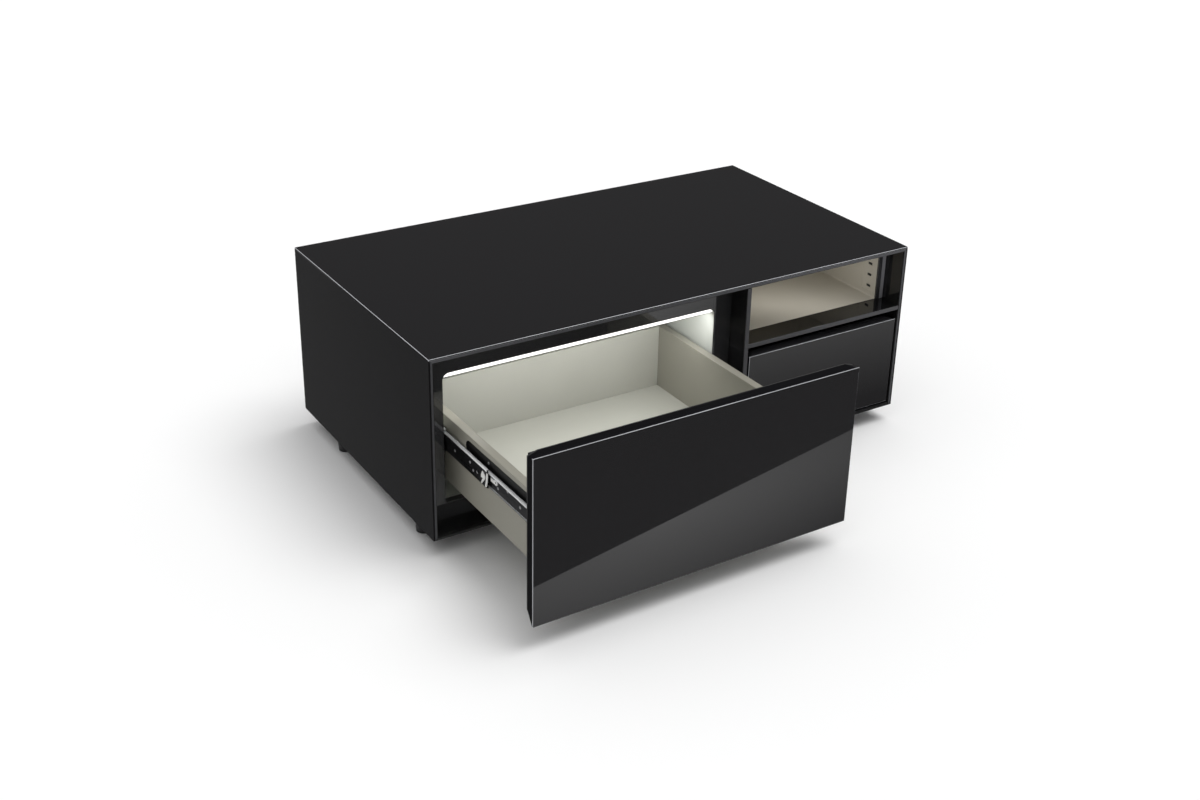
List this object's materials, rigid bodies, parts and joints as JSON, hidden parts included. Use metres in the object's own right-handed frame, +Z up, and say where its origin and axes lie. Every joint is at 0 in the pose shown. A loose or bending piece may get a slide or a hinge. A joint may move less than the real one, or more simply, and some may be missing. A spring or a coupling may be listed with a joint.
{
  "type": "refrigerator coffee table",
  "caption": "Low glass-topped coffee table with a pull-out refrigerated drawer, a lit cold compartment, an open charging niche and a small storage drawer.",
  "frame": {"origin": "floor level, under the middle of the table as stored, with its fridge drawer pulled out", "axes": "+X to the table's right as seen from the front, +Y from the front to the back, +Z up"},
  "size_m": [1.3, 1.118, 0.474],
  "materials": {
    "black_glass": "polished, black behind",
    "front_glass": "polished, black behind",
    "black_board": "gloss black lacquer",
    "back_steel": "satin",
    "edge_grey": "satin, anodised dark grey",
    "plate_black": "gloss",
    "liner_beige": "satin",
    "lip_white": "gloss",
    "foam": "rigid foam",
    "led_body": "matt",
    "led_lens": "frosted, lit",
    "evaporator_aluminium": "satin",
    "niche_beige": "satin",
    "plated_steel": "satin",
    "foot_black": "satin",
    "compressor_black": "satin",
    "black_rubber": "matt",
    "condenser_metal": "satin",
    "fan_black": "satin",
    "copper": "bright copper",
    "board_green": "matt",
    "inlet_black": "satin",
    "slide_dark": "dark zinc",
    "stop_white": "satin",
    "frame_grey": "satin, anodised dark grey",
    "cover_black": "matt",
    "box_painted": "satin",
    "small_box_painted": "black foil"
  },
  "bodies": {
    "cabinet": {"top_glass": "black_glass", "top_board": "black_board", "left_side_glass": "black_glass", "right_side_glass": "black_glass", "side_boards": "black_board", "centre_divider": "black_board", "base_board": "black_board", "back_panel": "back_steel", "shelf_board": "black_board", "outer_edge_trims": "edge_grey", "inner_edge_trims": "edge_grey", "fridge_face_plate": "plate_black", "fridge_liner": "liner_beige", "liner_lip": "lip_white", "insulation_foam": "foam", "led_housing": "led_body", "led_diffuser": "led_lens", "evaporator_plate": "evaporator_aluminium", "niche_face_plate": "plate_black", "niche_liner": "niche_beige", "socket_plate": "niche_beige", "usb_sockets": "plated_steel", "machine_partition": "black_board", "feet": "foot_black", "foot_studs": "plated_steel", "compressor": "compressor_black", "compressor_grommets": "black_rubber", "condenser_coil": "condenser_metal", "fan_frame": "fan_black", "filter_drier": "copper", "refrigerant_pipes": "copper", "control_board": "board_green", "power_inlet": "inlet_black", "rear_grille": "inlet_black", "panel_screws": "plated_steel", "fridge_slide_outer": "slide_dark", "small_slides_outer": "slide_dark"},
    "fridge_drawer": {"fridge_slide_inner": "slide_dark", "slide_screws": "plated_steel", "fridge_front_glass": "front_glass", "fridge_front_frame": "frame_grey", "fridge_front_cover": "cover_black", "fridge_front_core": "foam", "fridge_front_tray": "liner_beige", "fridge_gasket": "black_rubber", "fridge_box_sides": "box_painted", "fridge_box_back": "box_painted", "fridge_box_floor": "box_painted", "wall_slot_inserts": "cover_black"},
    "fridge_slide_middles": {"fridge_slide_middle": "slide_dark", "middle_ball_cages": "plated_steel", "slide_stops": "stop_white"},
    "release_lever_left_body": {"release_lever_left": "stop_white"},
    "release_lever_right_body": {"release_lever_right": "stop_white"},
    "small_drawer": {"small_slides_inner": "slide_dark", "small_front_glass": "front_glass", "small_front_frame": "frame_grey", "small_front_cover": "cover_black", "small_drawer_box": "small_box_painted"},
    "fan": {"fan_rotor": "fan_black"}
  },
  "joints": [
    {"name": "fridge_drawer_slide", "type": "slide", "parent": "cabinet", "child": "fridge_drawer", "axis": [0, -1, 0], "range_m": [-0.398, 0.012]},
    {"name": "fridge_slide_middle_slide", "type": "slide", "parent": "cabinet", "child": "fridge_slide_middles", "axis": [0, -1, 0], "range_m": [-0.199, 0.006]},
    {"name": "release_lever_left_hinge", "type": "hinge", "parent": "fridge_drawer", "child": "release_lever_left_body", "pos_m": [-0.5803, -0.31607, 0.2455], "axis": [1, 0, 0], "range_deg": [0, 8], "stiffness_Nm_per_rad": 0.05, "springref_deg": -5.73},
    {"name": "release_lever_right_hinge", "type": "hinge", "parent": "fridge_drawer", "child": "release_lever_right_body", "pos_m": [0.1043, -0.31607, 0.2455], "axis": [1, 0, 0], "range_deg": [0, 8], "stiffness_Nm_per_rad": 0.05, "springref_deg": -5.73},
    {"name": "small_drawer_slide", "type": "slide", "parent": "cabinet", "child": "small_drawer", "axis": [0, -1, 0], "range_m": [0, 0.21]},
    {"name": "fan_spin", "type": "hinge", "parent": "cabinet", "child": "fan", "pos_m": [0.529, 0.539, 0.12], "axis": [0, 1, 0], "continuous": true}
  ],
  "couplings": [
    {"joint": "fridge_slide_middle_slide", "follows": "fridge_drawer_slide", "ratio": 0.5}
  ]
}
